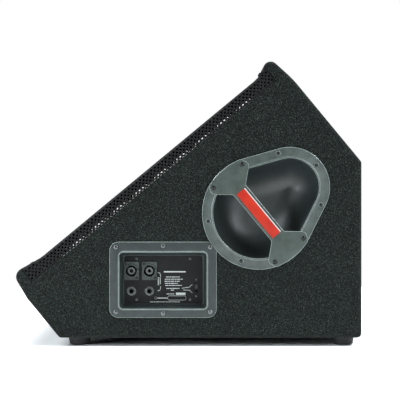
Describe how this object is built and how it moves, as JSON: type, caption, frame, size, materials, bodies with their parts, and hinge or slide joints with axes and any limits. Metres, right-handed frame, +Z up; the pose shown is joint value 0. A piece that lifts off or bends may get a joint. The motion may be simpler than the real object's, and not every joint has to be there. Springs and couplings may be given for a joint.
{
  "type": "stage monitor wedge",
  "caption": "Wedge-shaped floor monitor loudspeaker: carpeted plywood cabinet, folded perforated grille, cup handle on each side, recessed connector dish and rubber feet.",
  "frame": {"origin": "on the floor, under the centre of the cabinet's bounding box", "axes": "+Z up; the grille faces -X and up at 39.6 degrees to the floor; the connectors are on the -Y side; the upright back board faces +X"},
  "size_m": [0.5794, 0.4, 0.4773],
  "materials": {
    "plywood": "matte",
    "carpet": "matte",
    "grille_paint": "satin",
    "black_screw": "satin",
    "bright_screw": "satin",
    "basket_paint": "satin",
    "gasket": "matte",
    "surround": "satin",
    "spider": "matte",
    "cone": "matte",
    "copper": "satin",
    "plated_steel": "satin",
    "ferrite": "matte",
    "terminal_board": "matte",
    "horn_plastic": "satin",
    "diaphragm": "satin",
    "circuit_board": "satin",
    "capacitor": "gloss",
    "resistor": "matte",
    "lead_sleeve": "satin",
    "wadding": "matte",
    "dish_plastic": "satin",
    "plate_paint": "satin",
    "socket_plastic": "satin",
    "jack_plastic": "satin",
    "slider_plastic": "satin",
    "handle_plastic": "satin",
    "label_red": "satin",
    "foot_rubber": "matte"
  },
  "bodies": {
    "cabinet": {"side_panel_left": "plywood", "side_panel_right": "plywood", "bottom_panel": "plywood", "back_panel": "plywood", "rear_slope_panel": "plywood", "kick_panel": "plywood", "baffle": "plywood", "internal_battens": "plywood", "carpet_side_left": "carpet", "carpet_side_right": "carpet", "carpet_wrap": "carpet", "grille": "grille_paint", "grille_rails": "plywood", "grille_screws": "black_screw", "woofer_basket": "basket_paint", "woofer_gasket": "gasket", "woofer_surround": "surround", "woofer_spider": "spider", "woofer_top_plate": "plated_steel", "woofer_magnet": "ferrite", "woofer_pole_piece": "plated_steel", "woofer_bolts": "black_screw", "woofer_terminals": "terminal_board", "horn_flare": "horn_plastic", "horn_screws": "black_screw", "horn_driver_plate": "plated_steel", "horn_driver_magnet": "ferrite", "horn_driver_cover": "basket_paint", "port_tubes": "horn_plastic", "crossover_board": "circuit_board", "crossover_standoffs": "plated_steel", "crossover_inductors": "copper", "crossover_capacitors": "capacitor", "crossover_resistors": "resistor", "wiring_harness": "lead_sleeve", "damping_wadding": "wadding", "connector_dish": "dish_plastic", "dish_screws": "bright_screw", "connector_plate": "plate_paint", "plate_screws": "bright_screw", "speaker_socket_shells": "socket_plastic", "speaker_socket_cores": "socket_plastic", "speaker_socket_screws": "black_screw", "jack_bodies": "jack_plastic", "jack_nuts": "plated_steel", "selector_body": "plated_steel", "handle_cup_left": "handle_plastic", "handle_cup_right": "handle_plastic", "handle_bar_left": "handle_plastic", "handle_bar_right": "handle_plastic", "handle_labels": "label_red", "handle_screws": "black_screw", "rubber_feet": "foot_rubber", "foot_screws": "bright_screw"},
    "cone_assembly": {"woofer_cone": "cone", "woofer_dust_cap": "cone", "woofer_voice_coil": "copper"},
    "diaphragm_assembly": {"horn_diaphragm": "diaphragm"},
    "selector_knob": {"selector_slider": "slider_plastic"}
  },
  "joints": [
    {"name": "woofer_excursion", "type": "slide", "parent": "cabinet", "child": "cone_assembly", "axis": [-0.6374, 0, 0.7705], "range_m": [-0.005, 0.005], "stiffness_N_per_m": 4000, "deforming": ["woofer_surround", "woofer_spider"]},
    {"name": "horn_diaphragm_excursion", "type": "slide", "parent": "cabinet", "child": "diaphragm_assembly", "axis": [-0.6374, 0, 0.7705], "range_m": [-0.0004, 0.0004], "stiffness_N_per_m": 500},
    {"name": "selector_slide", "type": "slide", "parent": "cabinet", "child": "selector_knob", "axis": [0, 0, 1], "range_m": [-0.006, 0]}
  ]
}
